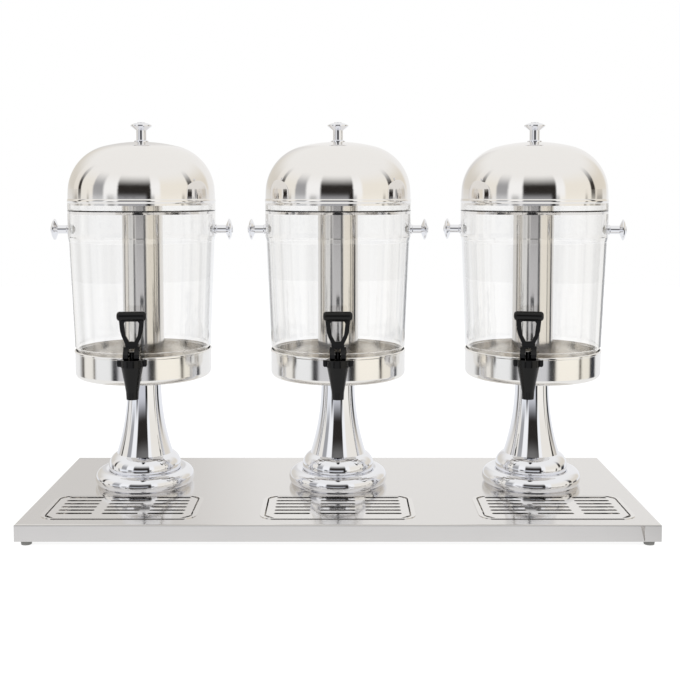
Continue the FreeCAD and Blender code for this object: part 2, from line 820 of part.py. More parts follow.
def make_pedestal():
    """Hollow turned column with a bead foot, a groove, a shoulder and a top flange."""
    bead = ("foot_ring_radius", "bead_z")
    shoulder = ("shoulder_r", "shoulder_z")
    outer_bead_end = on_circle(*bead, "foot_bead_radius", "foot_bead_end_angle")
    inner_bead_end = on_circle(*bead, "bead_inner", "(foot_bead_end_angle + groove_wrap_angle)")
    inner_bead_start = (
        "foot_ring_radius + sqrt(bead_inner ^ 2 - (bead_z - foot_lip_height) ^ 2)", "foot_lip_height")
    outer_shoulder_end = on_circle(*shoulder, "shoulder_radius", "shoulder_end_angle")
    inner_shoulder_end = on_circle(*shoulder, "shoulder_inner", "shoulder_end_angle")
    inner_shoulder_start = on_circle(
        *shoulder, "shoulder_inner", "(-shoulder_start_angle - groove_wrap_angle)")
    column_inner = "column_radius - pedestal_wall"
    flange_z = "pedestal_height - column_flange_gauge"

    def waist_radius(end, top_r):
        run = "(%s - (%s))" % (end[0], top_r)
        rise = "(neck_z - (%s))" % end[1]
        return "(%s ^ 2 + %s ^ 2) / (2 * %s)" % (run, rise, run)

    body = turned_body(
        "middle_pedestal",
        ("foot_lip_radius", "0"),
        ("foot_ring_radius + foot_bead_radius * cos(foot_bead_seat_angle)", "0"),
        ("foot_ring_radius + foot_bead_radius", "bead_z", "foot_bead_radius", LEFT_TURN),
        ("foot_ring_radius", "bead_z + foot_bead_radius", "foot_bead_radius", LEFT_TURN),
        outer_bead_end + ("foot_bead_radius", LEFT_TURN),
        ("groove_radius", "groove_height"),
        outer_shoulder_end + ("shoulder_radius", LEFT_TURN),
        ("column_radius", "neck_z", waist_radius(outer_shoulder_end, "column_radius"), RIGHT_TURN),
        ("column_radius", flange_z),
        ("column_flange_radius", flange_z),
        ("column_flange_radius", "pedestal_height"),
        ("bolt_hole", "pedestal_height"),
        ("bolt_hole", flange_z),
        (column_inner, flange_z),
        (column_inner, "neck_z"),
        inner_shoulder_end + (waist_radius(inner_shoulder_end, column_inner), LEFT_TURN),
        inner_shoulder_start + ("shoulder_inner", RIGHT_TURN),
        inner_bead_end,
        ("foot_ring_radius", "bead_z + bead_inner", "bead_inner", RIGHT_TURN),
        ("foot_ring_radius + bead_inner", "bead_z", "bead_inner", RIGHT_TURN),
        inner_bead_start + ("bead_inner", RIGHT_TURN),
        ("foot_lip_radius", "foot_lip_height"))
    place(body, y="unit_y", z="tray_top")
    return body


def make_base_pan():
    """Spun pan with a round corner, a rolled rim and a notch for the tap's shank."""
    inner = "pan_radius - pan_gauge"
    bead = "pan_radius + pan_bead"
    body = turned_body(
        "middle_base_pan",
        ("bolt_hole", "pedestal_height"),
        ("pan_radius - pan_corner", "pedestal_height"),
        ("pan_radius", "pedestal_height + pan_corner", "pan_corner", LEFT_TURN),
        ("pan_radius", "pan_rim - pan_bead_height"),
        (bead, "pan_rim - pan_bead_height + pan_bead"),
        (bead, "pan_rim - pan_bead"),
        ("pan_radius", "pan_rim", "pan_bead", LEFT_TURN),
        (inner, "pan_rim"),
        (inner, "pedestal_height + pan_corner"),
        ("pan_radius - pan_corner", "pan_floor", "pan_corner - pan_gauge", RIGHT_TURN),
        ("bolt_hole", "pan_floor"))
    half = "shank_radius + pan_notch_clearance"
    notch = new_sketch(body, "XZ_Plane", up="shank_z")
    add_outline(
        notch,
        ("-(%s)" % half, "pan_depth"),
        ("-(%s)" % half, "0"),
        ("0", "-(%s)" % half, half, LEFT_TURN),
        (half, "0", half, LEFT_TURN),
        (half, "pan_depth"))
    pocketed(body, notch, through("pan_radius"), back=True)
    place(body, y="unit_y", z="tray_top")
    return body


def make_container():
    """Clear moulded vessel with a stepped foot, a wider belt, an inner ledge and a tap boss."""
    wall = "container_wall"
    inner_corner = "container_foot_corner - container_wall"
    foot_inner = "container_foot_radius - container_wall"
    body = turned_body(
        "middle_container",
        ("0", "pan_floor + recess_height"),
        ("recess_radius", "pan_floor + recess_height"),
        ("recess_radius", "pan_floor"),
        ("container_foot_radius - container_foot_corner", "pan_floor"),
        ("container_foot_radius", "pan_floor + container_foot_corner", "container_foot_corner", LEFT_TURN),
        ("foot_top_r", "foot_top_z"),
        ("body_r", "body_z"),
        ("body_top_r", "belt_z - belt_step_height"),
        ("belt_r", "belt_z"),
        ("belt_r", "rim_z"),
        ("belt_inner", "rim_z"),
        ("belt_inner", "ledge_top"),
        ("belt_inner - ledge_width", "ledge_top"),
        ("belt_inner - ledge_width", "ledge_top - ledge_height + ledge_slope"),
        ("belt_inner", "ledge_top - ledge_height"),
        ("belt_inner", "belt_z - container_step_offset"),
        ("body_top_r - " + wall, "belt_z - belt_step_height - container_step_offset"),
        ("body_r - " + wall, "body_z + container_step_offset"),
        ("foot_top_r - " + wall, "foot_top_z + container_step_offset"),
        (foot_inner, "inside_floor + " + inner_corner),
        (foot_inner + " - (%s)" % inner_corner, "inside_floor", inner_corner, RIGHT_TURN),
        ("collar_outer", "inside_floor"),
        ("collar_outer", "ice_floor + collar_height"),
        ("collar_inner", "ice_floor + collar_height"),
        ("collar_inner", "ice_floor"),
        ("0", "ice_floor"))
    boss = new_sketch(body, "XZ_Plane", up="shank_z", out="pad_back")
    add_circle(boss, "0", "0", "tap_pad_radius")
    padded(body, boss, "pad_gauge")
    flat = new_sketch(body, "XZ_Plane", up="shank_z", out="pad_face")
    add_circle(flat, "0", "0", "tap_pad_radius")
    pocketed(body, flat, "shank_washer_gauge", back=True)
    hole = new_sketch(body, "XZ_Plane", up="shank_z", out="shank_seat")
    add_circle(hole, "0", "0", "shank_hole")
    pocketed(body, hole, "pad_gauge + 2 * shank_washer_gauge")
    screws = new_sketch(body, "YZ_Plane", up="knob_z")
    add_circle(screws, "0", "0", "screw_radius + screw_clearance")
    pocketed(body, screws, through("2 * belt_r"), both=True)
    place(body, y="unit_y", z="tray_top")
    return body


def make_ice_tube():
    """Tube with a closed bottom and a rolled rim."""
    top = "ice_floor + ice_height"
    body = turned_body(
        "middle_ice_tube",
        ("0", "ice_floor"),
        ("ice_radius", "ice_floor"),
        ("ice_radius", top + " - 2 * ice_rim"),
        ("ice_radius + ice_rim", top + " - ice_rim", "ice_rim", LEFT_TURN),
        ("ice_radius", top, "ice_rim", LEFT_TURN),
        ("ice_radius - ice_wall", top),
        ("ice_radius - ice_wall", "ice_floor + ice_wall"),
        ("0", "ice_floor + ice_wall"))
    place(body, y="unit_y", z="tray_top")
    return body


def make_dome_lid():
    """Spun dome of three tangent arcs, with a beaded rim, a flange and a locating lip."""
    skirt = ("skirt_centre_r", "skirt_z")
    shoulder = ("lid_shoulder_r", "lid_shoulder_z")
    hole = "rivet_radius + rivet_clearance"

    def skirt_end(inset):
        return on_circle(*skirt, "lid_skirt_radius - " + inset, "lid_skirt_sweep")

    def shoulder_end(inset):
        return on_circle(*shoulder, "lid_shoulder_radius - " + inset, "crown_start")

    body = turned_body(
        "middle_dome_lid",
        ("lid_lip", "rim_z - lid_lip_drop"),
        ("lid_lip", "rim_z"),
        ("lid_r", "rim_z"),
        ("lid_r", "skirt_z", "lid_bead_radius", LEFT_TURN),
        skirt_end("0") + ("lid_skirt_radius", LEFT_TURN),
        shoulder_end("0") + ("lid_shoulder_radius", LEFT_TURN),
        ("lid_seat_radius", "lid_seat", "crown_radius", LEFT_TURN),
        (hole, "lid_seat"),
        (hole, "lid_under"),
        ("lid_seat_radius", "lid_under"),
        shoulder_end("lid_gauge") + ("crown_radius - lid_gauge", RIGHT_TURN),
        skirt_end("lid_gauge") + ("lid_shoulder_radius - lid_gauge", RIGHT_TURN),
        ("lid_r - lid_gauge", "skirt_z", "lid_skirt_radius - lid_gauge", RIGHT_TURN),
        ("lid_r - lid_gauge", "rim_z + lid_gauge"),
        ("lid_lip - lid_gauge", "rim_z + lid_gauge"),
        ("lid_lip - lid_gauge", "rim_z - lid_lip_drop"))
    place(body, y="unit_y", z="tray_top")
    return body


def knob_steps(base, flange, shaft, shaft_length, cone):
    """Return a knob's outline as (distance along its axis, radius) formulas, from its base up."""
    cone_start = "%s + %s" % (base, shaft_length)
    disc = "%s + %s" % (cone_start, cone)
    disc_top = disc + " + knob_disc_edge"
    face = disc_top + " + knob_face_rise"
    reach = "(knob_disc_radius - knob_face_radius)"
    face_radius = "(%s ^ 2 + knob_face_rise ^ 2) / (2 * knob_face_rise)" % reach
    return (
        (base, flange),
        (base + " + knob_collar_height", flange),
        (base + " + 2 * knob_collar_height", shaft),
        (cone_start, shaft),
        (disc, "knob_disc_radius"),
        (disc_top, "knob_disc_radius"),
        (face, "knob_face_radius", face_radius, RIGHT_TURN),
        (face + " + knob_button_rise", "knob_face_radius - knob_button_rise", "knob_button_rise", RIGHT_TURN),
        (face + " + knob_button_rise", "0"))


def upright(step):
    """Swap a knob step to (radius, height), which also swaps the way its arcs turn."""
    if len(step) == 4:
        return step[1], step[0], step[2], -step[3]
    return step[1], step[0]


def make_lid_knob():
    """Turned knob with a rivet shank, peened over inside the dome."""
    steps = knob_steps(
        "lid_seat", "lid_knob_flange", "lid_knob_shaft", "lid_knob_shaft_length", "lid_knob_cone")
    body = turned_body(
        "middle_lid_knob",
        ("0", "lid_under - rivet_head_height"),
        ("rivet_radius", "lid_under - rivet_head_height"),
        ("rivet_head_radius", "lid_under"),
        ("rivet_radius", "lid_under"),
        ("rivet_radius", "lid_seat"),
        *[upright(step) for step in steps])
    place(body, y="unit_y", z="tray_top")
    return body


def make_side_knobs():
    """Two turned knobs on the belt, each with a blind screw hole in its base."""
    body = new_body("middle_side_knobs")
    steps = knob_steps(
        "side_knob_x", "side_knob_flange", "side_knob_shaft", "side_knob_shaft_length", "side_knob_cone")
    hole_end = "side_knob_x + screw_reach + screw_clearance"
    sketch = new_sketch(body, "XZ_Plane", up="knob_z")
    add_outline(sketch, (hole_end, "0"), (hole_end, "screw_radius"), ("side_knob_x", "screw_radius"), *steps)
    knob = turned(body, sketch, "H_Axis")
    mirrored(body, knob, "YZ_Plane")
    place(body, y="unit_y", z="tray_top")
    return body


def make_knob_screws():
    """Two screws from inside the belt into the side knobs."""
    body = new_body("middle_knob_screws")
    head = "screw_head_x - screw_head_height"
    sketch = new_sketch(body, "XZ_Plane", up="knob_z")
    add_outline(
        sketch,
        (head, "0"),
        (head, "screw_head_radius - screw_radius"),
        ("screw_head_x", "screw_head_radius"),
        ("screw_head_x", "screw_radius"),
        ("side_knob_x + screw_reach", "screw_radius"),
        ("side_knob_x + screw_reach", "0"))
    screw = turned(body, sketch, "H_Axis")
    mirrored(body, screw, "YZ_Plane")
    place(body, y="unit_y", z="tray_top")
    return body


def make_tap_body():
    """Spout, valve chamber with its seat, flanged shank and thread in one moulding."""
    body = new_body("middle_tap_body")
    outer = new_sketch(body, "YZ_Plane", right="-tap_reach", up="shank_z")
    add_outline(
        outer,
        ("0", "-spout_drop"),
        ("spout_radius", "-spout_drop"),
        ("spout_waist_radius", "-spout_waist_drop"),
        ("seat_outer_radius", "-seat_drop"),
        ("cup_outer_radius", "cup_rise"),
        ("spigot_radius", "cup_rise"),
        ("spigot_radius", "cup_rise + spigot_height"),
        ("0", "cup_rise + spigot_height"))
    turned(body, outer)
    shank = new_sketch(body, "YZ_Plane", up="shank_z")
    thread_end = "shank_thread_length - shank_seat"
    add_outline(
        shank,
        ("-tap_reach", "0"),
        ("-tap_reach", "shank_radius"),
        ("-shank_face", "shank_radius"),
        ("-shank_face", "shank_flange_radius"),
        ("-shank_seat", "shank_flange_radius"),
        ("-shank_seat", "shank_thread_radius"),
        (thread_end, "shank_thread_radius"),
        (thread_end, "0"))
    turned(body, shank, "H_Axis")
    chamber = new_sketch(body, "YZ_Plane", right="-tap_reach", up="shank_z")
    add_outline(
        chamber,
        ("0", "-spout_drop"),
        ("outlet_radius", "-spout_drop"),
        ("outlet_radius", "-seat_drop"),
        ("chamber_seat_radius", "-seat_drop"),
        ("chamber_radius", "cup_rise + spigot_height - chamber_depth"),
        ("chamber_radius", "cup_rise + spigot_height"),
        ("0", "cup_rise + spigot_height"))
    turned(body, chamber, cut=True)
    bore = new_sketch(body, "XZ_Plane", up="shank_z", out="shank_seat - shank_thread_length")
    add_circle(bore, "0", "0", "shank_bore")
    pocketed(body, bore, "tap_reach - shank_seat + shank_thread_length", back=True)
    place(body, y="unit_y", z="tray_top")
    return body


def make_tap_bonnet():
    """Screw cap over the chamber, with the stem's guide and two wings to turn it by."""
    body = new_body("middle_tap_bonnet")
    cap = new_sketch(body, "YZ_Plane", right="-tap_reach")
    bore = "stem_radius + stem_clearance"
    thread = "spigot_radius + bonnet_thread_clearance"
    add_outline(
        cap,
        (bore, "plate_z - guide_drop"),
        ("guide_radius", "plate_z - guide_drop"),
        ("guide_radius", "plate_z"),
        (thread, "plate_z"),
        (thread, "bonnet_z"),
        ("bonnet_radius", "bonnet_z"),
        ("bonnet_radius", "bonnet_top - bonnet_crown"),
        ("bonnet_radius - bonnet_crown", "bonnet_top", "bonnet_crown", LEFT_TURN),
        (bore, "bonnet_top"))
    turned(body, cap)
    root = "(spigot_radius + bonnet_radius) / 2"
    wings = new_sketch(body, "XZ_Plane", out="tap_reach")
    for side in ("", "-"):
        add_outline(
            wings,
            (side + root, "bonnet_z"),
            (side + "wing_foot_reach", "bonnet_z"),
            (side + "wing_reach", "bonnet_z + wing_foot_rise"),
            (side + "wing_reach", "bonnet_top - bonnet_crown"),
            (side + root, "bonnet_top - bonnet_crown"))
    padded(body, wings, "wing_gauge", both=True)
    place(body, y="unit_y", z="tray_top")
    return body


def make_shank_nut():
    """Hexagonal nut on the shank, inside the container."""
    body = new_body("middle_shank_nut")
    sketch = new_sketch(body, "XZ_Plane", up="shank_z", out="nut_face")
    add_hexagon(sketch, "nut_corner")
    add_circle(sketch, "0", "0", "shank_thread_radius + shank_nut_clearance")
    padded(body, sketch, "shank_nut_height", back=True)
    place(body, y="unit_y", z="tray_top")
    return body


def make_seal_washers():
    """Rubber washers: one on each side of the container's wall at the tap, one inside each knob."""
    shank_washers = []
    for front in ("shank_seat", "pad_back"):
        washer = new_body("shank_washer")
        sketch = new_sketch(washer, "XZ_Plane", up="shank_z", out=front)
        add_circle(sketch, "0", "0", "shank_flange_radius")
        add_circle(sketch, "0", "0", "shank_hole")
        padded(washer, sketch, "shank_washer_gauge", back=True)
        shank_washers.append(washer)
    knob_washers = new_body("knob_washers")
    sketch = new_sketch(knob_washers, "YZ_Plane", up="knob_z", out="screw_head_x")
    add_circle(sketch, "0", "0", "knob_washer_radius")
    add_circle(sketch, "0", "0", "screw_radius + screw_clearance")
    ring = padded(knob_washers, sketch, "knob_washer_gauge")
    mirrored(knob_washers, ring, "YZ_Plane")
    group = compound("middle_seal_washers", shank_washers + [knob_washers])
    place(group, y="unit_y", z="tray_top")
    return group


def make_tap_stem():
    """Stem with a spring flange, a spigot for the cup, and a grooved head crossed by the pin's hole."""
    body = new_body("middle_tap_stem")
    sketch = new_sketch(body, "YZ_Plane", right="-tap_reach")
    groove_r = "stem_radius - stem_groove"
    steps = [
        ("0", "stem_flange_z - stem_spigot_length"),
        ("stem_spigot_radius", "stem_flange_z - stem_spigot_length"),
        ("stem_spigot_radius", "stem_flange_z"),
        ("stem_flange_radius", "stem_flange_z"),
        ("stem_flange_radius", "spring_foot"),
        ("stem_radius", "spring_foot"),
    ]
    for ring in (2, 1):
        low = "stem_top - %d * stem_groove_pitch" % ring
        steps.extend([
            ("stem_radius", low),
            (groove_r, low + " + stem_groove / 2"),
            (groove_r, low + " + stem_groove"),
            ("stem_radius", low + " + 3 * stem_groove / 2"),
        ])
    steps.extend([("stem_radius", "stem_top"), ("0", "stem_top")])
    add_outline(sketch, *steps)
    turned(body, sketch)
    hole = new_sketch(body, "YZ_Plane", right="-tap_reach", up="pivot_z")
    add_circle(hole, "0", "0", "pin_radius + pin_clearance")
    pocketed(body, hole, through("2 * stem_radius"), both=True)
    place(body, y="unit_y", z="tray_top")
    return body


def make_seat_cup():
    """Soft tapered cup on the stem's spigot that closes the outlet."""
    body = new_body("middle_seat_cup")
    sketch = new_sketch(body, "YZ_Plane", right="-tap_reach")
    hole = "stem_spigot_radius + seat_cup_clearance"
    hole_z = "stem_flange_z - stem_spigot_length - seat_cup_clearance"
    add_outline(
        sketch,
        ("0", "seat_z"),
        ("seat_cup_foot_radius", "seat_z"),
        ("seat_cup_head_radius", "stem_flange_z"),
        (hole, "stem_flange_z"),
        (hole, hole_z),
        ("0", hole_z))
    turned(body, sketch)
    place(body, y="unit_y", z="tray_top")
    return body


def make_tap_spring():
    """Coil spring between the stem's flange and the bonnet."""
    wire = number("spring_wire")
    gap = number("spring_gap")
    low = number("spring_foot") + wire + gap
    high = number("plate_z") - wire - gap
    radius = number("spring_radius")
    foot = Vector(0, -number("tap_reach"), low)
    coil = Part.makeHelix((high - low) / number("spring_turns"), high - low, radius)
    coil.translate(foot)
    section = Part.Wire(Part.Circle(foot + Vector(radius, 0, 0), Vector(0, 1, 0), wire).toShape())
    spring = doc.addObject("Part::Feature", "middle_tap_spring")
    spring.Label = "middle_tap_spring"
    spring.Shape = Part.Wire(coil).makePipeShell([section], True, True)
    place(spring, y="unit_y", z="tray_top")
    return spring


def make_lever_pin():
    """Cross pin on which the lever turns."""
    body = new_body("middle_lever_pin")
    sketch = new_sketch(body, "YZ_Plane", right="-tap_reach", up="pivot_z")
    add_circle(sketch, "0", "0", "pin_radius")
    padded(body, sketch, "lever_width - 2 * pin_inset", both=True)
    place(body, y="unit_y", z="tray_top")
    return body


def make_tap_lever():
    """Forked cam block with a flared finger loop under a round crossbar."""
    body = new_body("middle_tap_lever")
    side = new_sketch(body, "YZ_Plane", right="-tap_reach", up="pivot_z")
    neck = "lever_neck_gauge / 2"
    add_outline(
        side,
        ("lever_heel", "-lever_foot"),
        ("lever_heel", "lever_back_rise"),
        (neck, "lever_shoulder_rise"),
        (neck, "lever_head_rise"),
        ("-" + neck, "lever_head_rise"),
        ("-" + neck, "lever_shoulder_rise"),
        ("-cam_end_y", "lever_nose_rise"),
        ("-cam_end_y", "-cam_end_z"),
        ("-cam_rate", "-lever_foot", "lever_foot + stem_lift / 2", LEFT_TURN))
    padded(body, side, "lever_width", both=True)

    front = new_sketch(body, "XZ_Plane", up="pivot_z", out="tap_reach")
    right_edge = (
        ("loop_neck_half", "lever_shoulder_rise"),
        ("loop_neck_half", "loop_neck_rise"),
        ("loop_waist_half", "loop_waist_rise"),
        ("loop_arm_half", "loop_arm_rise"),
        ("loop_head_half", "loop_head_rise"))
    left_edge = [("-" + x, z) for x, z in reversed(right_edge)]
    add_outline(front, *right_edge, *left_edge)
    right_side = (
        ("hole_foot_half", "hole_foot_rise"),
        ("hole_waist_half", "hole_waist_rise"),
        ("hole_head_half", "hole_head_rise"),
        ("hole_top_half", "hole_top_rise"))
    left_side = [("-" + x, z) for x, z in reversed(right_side)]
    add_outline(front, *right_side, *left_side)
    loop = padded(body, front, "loop_gauge", both=True)
    half_gauge = number("loop_gauge / 2")
    tap_y = -number("tap_reach")
    neck_z = number("pivot_z + loop_neck_rise")

    def on_loop_face(box):
        flat = near(box.YMin, box.YMax) and near(abs(box.YMin - tap_y), half_gauge)
        return flat and box.ZMin > neck_z - CLOSE and max(box.XLength, box.ZLength) > half_gauge

    filleted(body, loop, "loop_rounding", on_loop_face)

    grip = new_sketch(body, "YZ_Plane", right="-tap_reach", up="pivot_z + grip_rise")
    add_circle(grip, "0", "0", "grip_radius")
    bar = padded(body, grip, "grip_length", both=True)
    end = number("grip_length") / 2
    filleted(
        body, bar, "grip_rounding",
        lambda box: near(box.XMin, box.XMax) and near(abs(box.XMin), end))

    fork = new_sketch(body, "XZ_Plane", up="pivot_z", out="tap_reach")
    half = "fork_width / 2"
    add_outline(
        fork,
        ("-" + half, "-2 * lever_foot"),
        (half, "-2 * lever_foot"),
        (half, "fork_rise"),
        ("-" + half, "fork_rise"))
    pocketed(body, fork, through("cam_end_y + lever_heel"), both=True)
    hole = new_sketch(body, "YZ_Plane", right="-tap_reach", up="pivot_z")
    add_circle(hole, "0", "0", "pin_radius + lever_pin_clearance")
    pocketed(body, hole, through("lever_width"), both=True)
    place(body, y="unit_y", z="tray_top")
    return body


def repeat_unit(masters):
    """Link each piece of the middle dispenser into the left and right ones."""
    copies = []
    for name, sign, turn in (("left", "-", "left_turn"), ("right", "", "right_turn")):
        for master in masters:
            label = master.Label.replace("middle", name)
            drips = "drip" in label
            turned_with_tap = not drips and "pedestal" not in label
            copies.append(link_at(
                label,
                master,
                sign + ("drip_pitch" if drips else "unit_pitch"),
                "drip_y" if drips else "unit_y",
                "tray_top",
                turn if turned_with_tap else "0"))
    return copies


def check_cuts():
    """Stop if a pocket or groove removed nothing."""
    for item in doc.Objects:
        if item.TypeId in ("PartDesign::Pocket", "PartDesign::Groove"):
            if item.Shape.Volume > item.BaseFeature.Shape.Volume - CLOSE:
                raise ValueError(item.Label + " cuts nothing")


def check_states():
    """Stop if any object of the document failed."""
    for item in doc.Objects:
        if "Invalid" in item.State or "Error" in item.State:
            raise ValueError("%s failed: %s" % (item.Label, item.State))


def export(parts):
    """Write each sub-part to its own file, after testing its shape."""
    os.makedirs("parts", exist_ok=True)
    for part in parts:
        shape = Part.getShape(part)
        if shape.isNull() or not shape.isValid() or not shape.Solids:
            raise ValueError(part.Label + " has no valid solid")
        shape.exportStep("parts/%s.step" % part.Label)
        print("%s: %d solids, %.1f mm3" % (part.Label, len(shape.Solids), shape.Volume))


shared = [make_base_tray(), make_tray_feet(), make_tie_bolts()]
middle = [
    make_drip_pan(),
    make_drip_grille(),
    make_pedestal(),
    make_base_pan(),
    make_container(),
    make_ice_tube(),
    make_dome_lid(),
    make_lid_knob(),
    make_side_knobs(),
    make_knob_screws(),
    make_tap_body(),
    make_tap_bonnet(),
    make_shank_nut(),
    make_seal_washers(),
    make_tap_stem(),
    make_seat_cup(),
    make_tap_spring(),
    make_lever_pin(),
    make_tap_lever(),
]
others = repeat_unit(middle)
doc.recompute()
check_states()
check_cuts()
export(shared + middle + others)
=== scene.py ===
"""Dresses and lights a stand of three juice dispensers with domed lids and push-lever taps."""
import logging
import math
from dataclasses import dataclass, field
from enum import Enum
from typing import Any, Sequence

import bmesh
import bpy
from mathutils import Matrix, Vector


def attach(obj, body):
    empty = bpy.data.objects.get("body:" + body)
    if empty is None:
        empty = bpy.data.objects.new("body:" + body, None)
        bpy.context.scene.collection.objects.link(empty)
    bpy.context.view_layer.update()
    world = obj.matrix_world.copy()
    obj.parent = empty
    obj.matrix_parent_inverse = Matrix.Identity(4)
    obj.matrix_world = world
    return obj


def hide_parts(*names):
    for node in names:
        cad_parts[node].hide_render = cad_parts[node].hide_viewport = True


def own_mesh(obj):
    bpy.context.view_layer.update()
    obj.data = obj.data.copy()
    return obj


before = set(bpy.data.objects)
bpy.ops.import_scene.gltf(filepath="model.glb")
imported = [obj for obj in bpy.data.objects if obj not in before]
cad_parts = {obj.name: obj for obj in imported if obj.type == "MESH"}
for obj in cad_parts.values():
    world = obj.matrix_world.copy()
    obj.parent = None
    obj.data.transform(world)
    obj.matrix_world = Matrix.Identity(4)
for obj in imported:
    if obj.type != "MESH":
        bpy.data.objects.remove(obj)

LOG = logging.getLogger("juice_dispenser")

MM = 0.001
UNIT_PITCH = 297 * MM
UNIT_Y = 34 * MM
# The stretch of a noise texture that its values mostly fill.
NOISE_LOW = 0.3
NOISE_HIGH = 0.7
# A ray's count of bounces of one kind is above this once it has bounced that way.
BOUNCED = 0.5


class Side(Enum):
    """The three dispensers on the stand, as seen from the taps."""

    LEFT = "left"
    MIDDLE = "middle"
    RIGHT = "right"


class Grain(Enum):
    """Which way the tool marks of a metal run."""

    ALONG = "ground along the sheet"
    AROUND = "spun about the upright axis"
    NONE = "plated or drawn, with no marks of its own"


def linear(code: str) -> tuple[float, float, float, float]:
    """Turn an sRGB hex colour into a linear one.

    Args:
        code: The colour as "#RRGGBB".

    Returns:
        The linear red, green, blue and an alpha of 1.
    """
    channels = []
    for start in (1, 3, 5):
        value = int(code[start:start + 2], 16) / 255
        channels.append(value / 12.92 if value <= 0.04045 else ((value + 0.055) / 1.055) ** 2.4)
    return channels[0], channels[1], channels[2], 1.0


def add_node(
    tree: bpy.types.NodeTree,
    kind: str,
    inputs: dict[str | int, Any] | None = None,
    **settings: Any,
) -> bpy.types.Node:
    """Add a shader node with its settings and links.

    Args:
        tree: The node tree that gets the node.
        kind: The node's type, without the word ShaderNode.
        inputs: For each socket, by name or number, a value or the socket that feeds it.
        settings: The node's own properties.

    Returns:
        The new node.
    """
    node = tree.nodes.new("ShaderNode" + kind)
    for name, value in settings.items():
        setattr(node, name, value)
    for socket, value in (inputs or {}).items():
        if isinstance(value, bpy.types.NodeSocket):
            tree.links.new(value, node.inputs[socket])
        else:
            node.inputs[socket].default_value = value
    return node


def new_material(name: str) -> tuple[bpy.types.Material, bpy.types.NodeTree]:
    """Make a material with an empty node tree.

    Args:
        name: The finish's name.

    Returns:
        The material and its node tree.
    """
    material = bpy.data.materials.new(name)
    material.use_nodes = True
    material.node_tree.nodes.clear()
    return material, material.node_tree


def unit_place(tree: bpy.types.NodeTree) -> tuple[bpy.types.NodeSocket, bpy.types.NodeSocket]:
    """Measure a point from the upright axis of the dispenser that it belongs to.

    Args:
        tree: The node tree that gets the nodes.

    Returns:
        The point's distance from that axis and its height, both in metres.
    """
    place = add_node(tree, "TexCoord").outputs["Object"]
    parts = add_node(tree, "SeparateXYZ", {0: place})
    across = add_node(
        tree, "Math", {0: parts.outputs["X"], 1: UNIT_PITCH / 2, 2: -UNIT_PITCH / 2},
        operation="WRAP")
    deep = add_node(tree, "Math", {0: parts.outputs["Y"], 1: UNIT_Y}, operation="SUBTRACT")
    flat = add_node(tree, "CombineXYZ", {0: across.outputs[0], 1: deep.outputs[0]})
    radius = add_node(tree, "VectorMath", {0: flat.outputs[0]}, operation="LENGTH")
    return radius.outputs["Value"], parts.outputs["Z"]


@dataclass(frozen=True)
class Metal:
    """A metal surface with its tool marks and the faint cloudiness of handling.

    The marks of grinding and spinning are some 0.1 mm apart, too fine to show here. They are drawn
    at mark_mm, as coarse as they need to be seen, and faint.
    """

    name: str
    colour: str
    roughness: float
    grain: Grain = Grain.NONE
    mark_mm: float = 1.2
    mark_depth_mm: float = 0.004
    mark_strength: float = 0.25
    mark_length_mm: float = 90
    shade_spread: float = 0.04
    cloud_mm: float = 60
    smoothest: float = 0.85
    roughest: float = 1.2
    mark_detail: float = 2.0
    cloud_detail: float = 3.0

    def mark_vector(self, tree: bpy.types.NodeTree) -> bpy.types.NodeSocket:
        """Stretch the coordinates so that even noise turns into streaks along the grain.

        Args:
            tree: The node tree that gets the nodes.

        Returns:
            The coordinates, with the width of one mark as their unit.
        """
        per_metre = 1 / (self.mark_mm * MM)
        if self.grain is Grain.AROUND:
            radius, height = unit_place(tree)
            spun = add_node(tree, "CombineXYZ", {0: radius, 1: height})
            return add_node(
                tree, "VectorMath", {0: spun.outputs[0], 1: (per_metre,) * 3},
                operation="MULTIPLY").outputs[0]
        place = add_node(tree, "TexCoord").outputs["Object"]
        long_mark = 1 / (self.mark_length_mm * MM)
        return add_node(
            tree, "VectorMath", {0: place, 1: (long_mark, per_metre, per_metre)},
            operation="MULTIPLY").outputs[0]

    def material(self) -> bpy.types.Material:
        """Build the metal: its shade follows the marks, if it has any, its gloss a soft cloud.

        Returns:
            The finished material.
        """
        material, tree = new_material(self.name)
        place = add_node(tree, "TexCoord").outputs["Object"]
        cloud = add_node(
            tree, "TexNoise",
            {"Vector": place, "Scale": 1 / (self.cloud_mm * MM), "Detail": self.cloud_detail})
        marks = cloud
        if self.grain is not Grain.NONE:
            marks = add_node(
                tree, "TexNoise",
                {"Vector": self.mark_vector(tree), "Scale": 1.0, "Detail": self.mark_detail})
        red, green, blue, _ = linear(self.colour)
        dark = 1 - self.shade_spread
        shade = add_node(
            tree, "MixRGB",
            {0: marks.outputs["Fac"], 1: (red * dark, green * dark, blue * dark, 1),
             2: (red, green, blue, 1)})
        rough = add_node(
            tree, "MapRange",
            {0: cloud.outputs["Fac"], 1: NOISE_LOW, 2: NOISE_HIGH,
             3: self.roughness * self.smoothest, 4: self.roughness * self.roughest})
        inputs = {"Base Color": shade.outputs[0], "Metallic": 1.0, "Roughness": rough.outputs[0]}
        if self.grain is not Grain.NONE:
            bump = add_node(
                tree, "Bump",
                {"Strength": self.mark_strength, "Distance": self.mark_depth_mm * MM,
                 "Height": marks.outputs["Fac"]})
            inputs["Normal"] = bump.outputs[0]
        surface = add_node(tree, "BsdfPrincipled", inputs)
        add_node(tree, "OutputMaterial", {"Surface": surface.outputs[0]})
        return material


